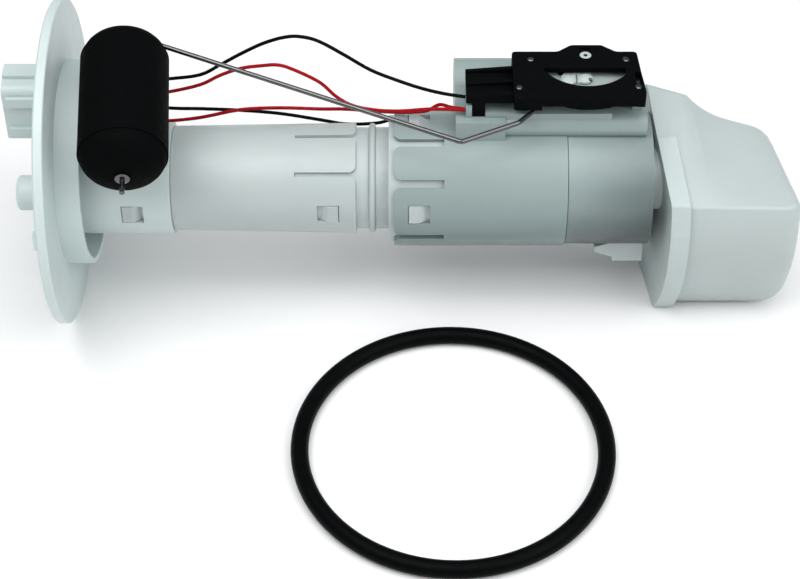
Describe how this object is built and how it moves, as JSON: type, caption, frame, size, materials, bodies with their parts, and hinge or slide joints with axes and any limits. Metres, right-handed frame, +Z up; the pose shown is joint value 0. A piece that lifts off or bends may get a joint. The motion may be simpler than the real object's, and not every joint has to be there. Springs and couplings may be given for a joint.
{
  "type": "in-tank fuel pump module with level sender",
  "caption": "Flanged in-tank fuel pump module: snap-together tube and pump housing, offset strainer bowl, level sender with wire arm and float, leads and a loose seal ring.",
  "frame": {"origin": "centre of the round flange's tank-side face, on the axis of its neck collar", "axes": "+X along the module from the flange towards the bowl, +Z up as the module lies, +Y to the back, away from the loose seal ring"},
  "size_m": [0.2912, 0.2063, 0.119],
  "materials": {
    "white_plastic": "moulded satin white acetal",
    "natural_plastic": "slightly translucent natural acetal",
    "black_plastic": "moulded matt black",
    "black_rubber": "smooth black nitrile",
    "float_foam": "fine-grained hard nitrile foam",
    "filter_cloth": "fine woven strainer cloth",
    "steel": "bright zinc-plated or stainless",
    "brass": "tinned brass",
    "ceramic": "glazed ceramic card",
    "black_insulation": "fuel-resistant lead insulation",
    "red_insulation": "fuel-resistant lead insulation"
  },
  "bodies": {
    "module": {"flange": "white_plastic", "plug_terminals": "brass", "outlet_nipple": "white_plastic", "lead_block": "white_plastic", "seal_ring": "black_rubber", "riser_tube": "natural_plastic", "coupler": "natural_plastic", "coupler_ring": "white_plastic", "pump_housing": "natural_plastic", "lower_cup": "natural_plastic", "base_plate": "white_plastic", "bowl": "white_plastic", "bowl_latch": "natural_plastic", "strainer": "filter_cloth", "strainer_neck": "black_rubber", "pump_can": "steel", "pump_outlet_cap": "black_plastic", "pump_inlet_cap": "white_plastic", "pump_cushions": "black_rubber", "delivery_hose": "natural_plastic", "regulator": "steel", "regulator_seals": "black_rubber", "regulator_cap": "white_plastic", "sender_frame": "black_plastic", "sender_rivets": "steel", "resistor_card": "ceramic", "sender_terminals": "brass", "sender_lead_black": "black_insulation", "sender_lead_red": "red_insulation", "pump_lead_black": "black_insulation", "pump_lead_red": "red_insulation"},
    "float_arm": {"float_wire": "steel", "wiper_carrier": "white_plastic", "wiper_contact": "steel", "push_nut": "steel"},
    "float_body": {"float": "float_foam"}
  },
  "joints": [
    {"name": "arm_swing", "type": "hinge", "parent": "module", "child": "float_arm", "pos_m": [0.188, 0.0172, 0.028], "axis": [0, 0, 1], "range_deg": [0, 80]},
    {"name": "float_spin", "type": "hinge", "parent": "float_arm", "child": "float_body", "pos_m": [0.0252, -0.0172, 0.0402], "axis": [0.0601, -0.983, -0.1736], "continuous": true}
  ]
}
